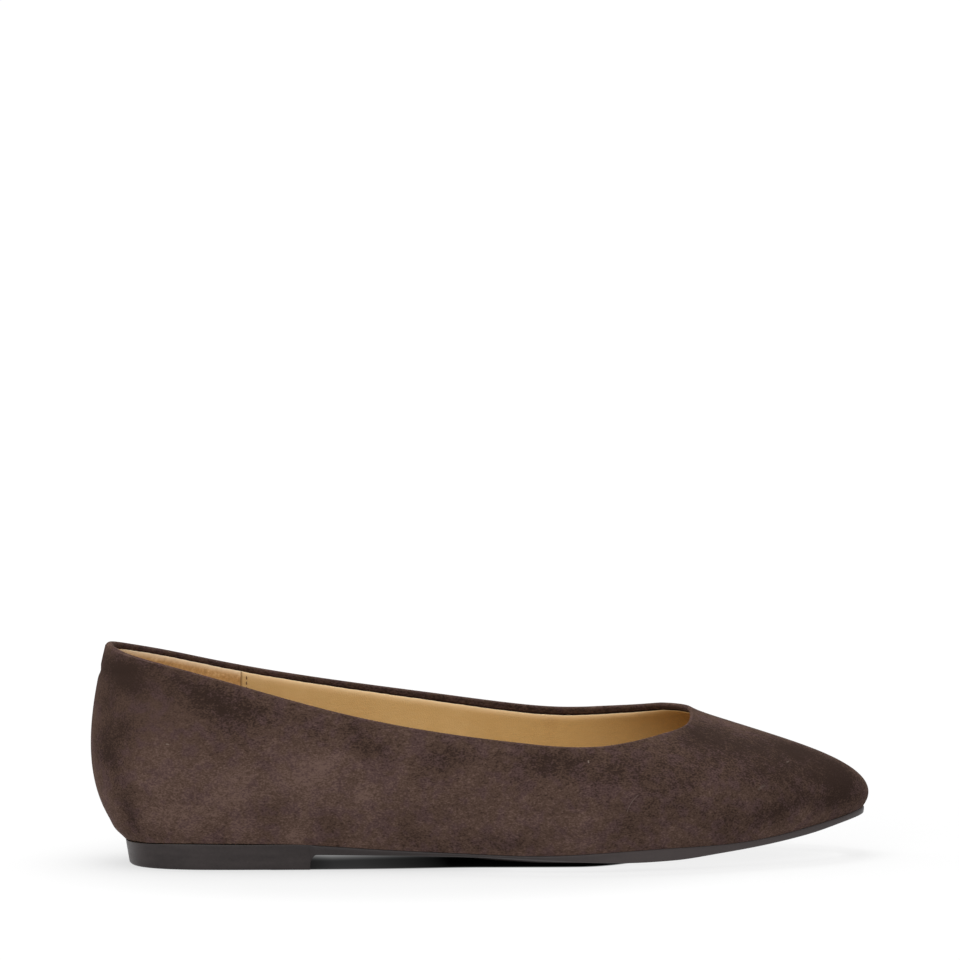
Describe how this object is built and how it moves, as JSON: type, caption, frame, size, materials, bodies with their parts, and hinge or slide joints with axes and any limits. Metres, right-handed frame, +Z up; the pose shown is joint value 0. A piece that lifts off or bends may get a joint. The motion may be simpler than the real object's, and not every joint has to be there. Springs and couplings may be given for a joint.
{
  "type": "ballet flat",
  "caption": "Low-cut slip-on right shoe with a tapered toe, plain suede upper with turned-in collar, tan lining and moulded rubber sole with a low heel.",
  "frame": {"origin": "middle of the shoe's box in plan, on the floor that heel and forefoot rest on", "axes": "+X from heel to toe, +Y to the medial side (the wearer's left), +Z up"},
  "size_m": [0.2576, 0.0782, 0.0725],
  "materials": {
    "dark_rubber": "satin",
    "brown_suede": "matt napped",
    "tan_leather": "smooth"
  },
  "bodies": {
    "root": {"outsole": "dark_rubber", "upper": "brown_suede", "insole": "tan_leather"}
  },
  "joints": []
}
